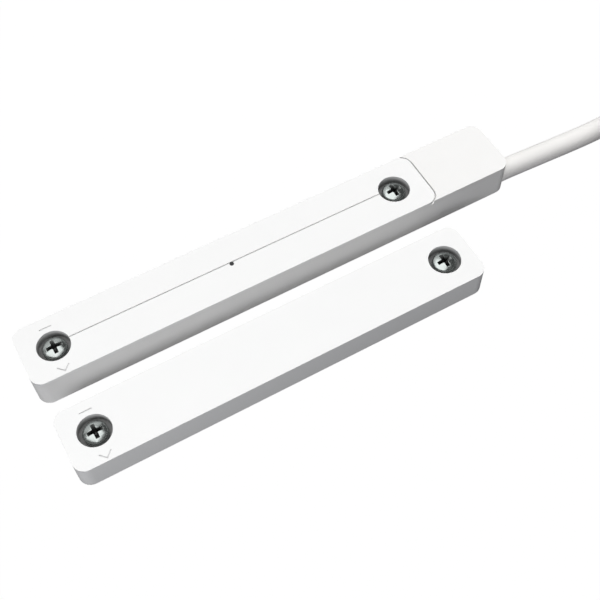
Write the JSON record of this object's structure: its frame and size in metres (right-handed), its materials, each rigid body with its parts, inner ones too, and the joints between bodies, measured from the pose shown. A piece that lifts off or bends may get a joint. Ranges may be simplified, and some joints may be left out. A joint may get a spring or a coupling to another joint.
{
  "type": "door contact sensor",
  "caption": "Surface-mounted wired door contact: slim reed-switch housing with a side cable and a matching magnet housing, each held by pan head screws.",
  "frame": {"origin": "midway between the sensor half's two screws, on the mounting surface at its back", "axes": "+X along both halves towards the cable, +Y from the magnet half to the sensor half, +Z out of the mounting surface"},
  "size_m": [0.1787, 0.0618, 0.031],
  "materials": {
    "housing_white": "white ABS, fine satin moulding",
    "case_white": "white ABS, fine satin moulding",
    "index_ink": "black ink",
    "zinc_screw": "bright zinc plating",
    "board": "green solder mask over glass-epoxy",
    "solder": "bright tin",
    "reed_glass": "clear, faintly green",
    "reed_metal": "tinned nickel-iron",
    "insulation_red": "PVC",
    "insulation_black": "PVC",
    "insulation_yellow": "PVC",
    "insulation_blue": "PVC",
    "cable_jacket": "white PVC, satin",
    "nylon": "natural nylon",
    "magnet": "sintered ferrite",
    "foam": "closed-cell foam"
  },
  "bodies": {
    "sensor_half": {"sensor_case": "case_white", "sensor_lid": "housing_white", "index_dot": "index_ink", "sensor_screws": "zinc_screw", "circuit_board": "board", "solder_joints": "solder", "reed_glass": "reed_glass", "reed_lead_left": "reed_metal", "reed_lead_right": "reed_metal", "wire_red": "insulation_red", "wire_black": "insulation_black", "wire_yellow": "insulation_yellow", "wire_blue": "insulation_blue", "wire_tips": "solder", "cable_stub": "cable_jacket", "cable_wedge": "housing_white", "cable_lead": "cable_jacket", "cable_coil": "cable_jacket", "coil_tie": "nylon", "core_red": "insulation_red", "core_black": "insulation_black", "core_yellow": "insulation_yellow", "core_blue": "insulation_blue", "core_tips": "solder"},
    "magnet_half": {"magnet_housing": "housing_white", "magnet_back_plate": "housing_white", "bar_magnet": "magnet", "magnet_foam_pad": "foam", "magnet_screws": "zinc_screw"},
    "left_blade": {"reed_blade_left": "reed_metal"},
    "right_blade": {"reed_blade_right": "reed_metal"}
  },
  "joints": [
    {"name": "door_travel", "type": "slide", "parent": "sensor_half", "child": "magnet_half", "axis": [0, -1, 0], "range_m": [-0.0047, 0.045]},
    {"name": "reed_left_flex", "type": "hinge", "parent": "sensor_half", "child": "left_blade", "pos_m": [-0.0064, -0.002, 0.0043], "axis": [0, 1, 0], "range_deg": [0, 0.8], "stiffness_Nm_per_rad": 0.0004, "springref_deg": 0.8},
    {"name": "reed_right_flex", "type": "hinge", "parent": "sensor_half", "child": "right_blade", "pos_m": [0.0064, -0.002, 0.0043], "axis": [0, 1, 0], "range_deg": [0, 0.8]}
  ],
  "couplings": [
    {"joint": "reed_right_flex", "follows": "reed_left_flex", "ratio": 1}
  ]
}
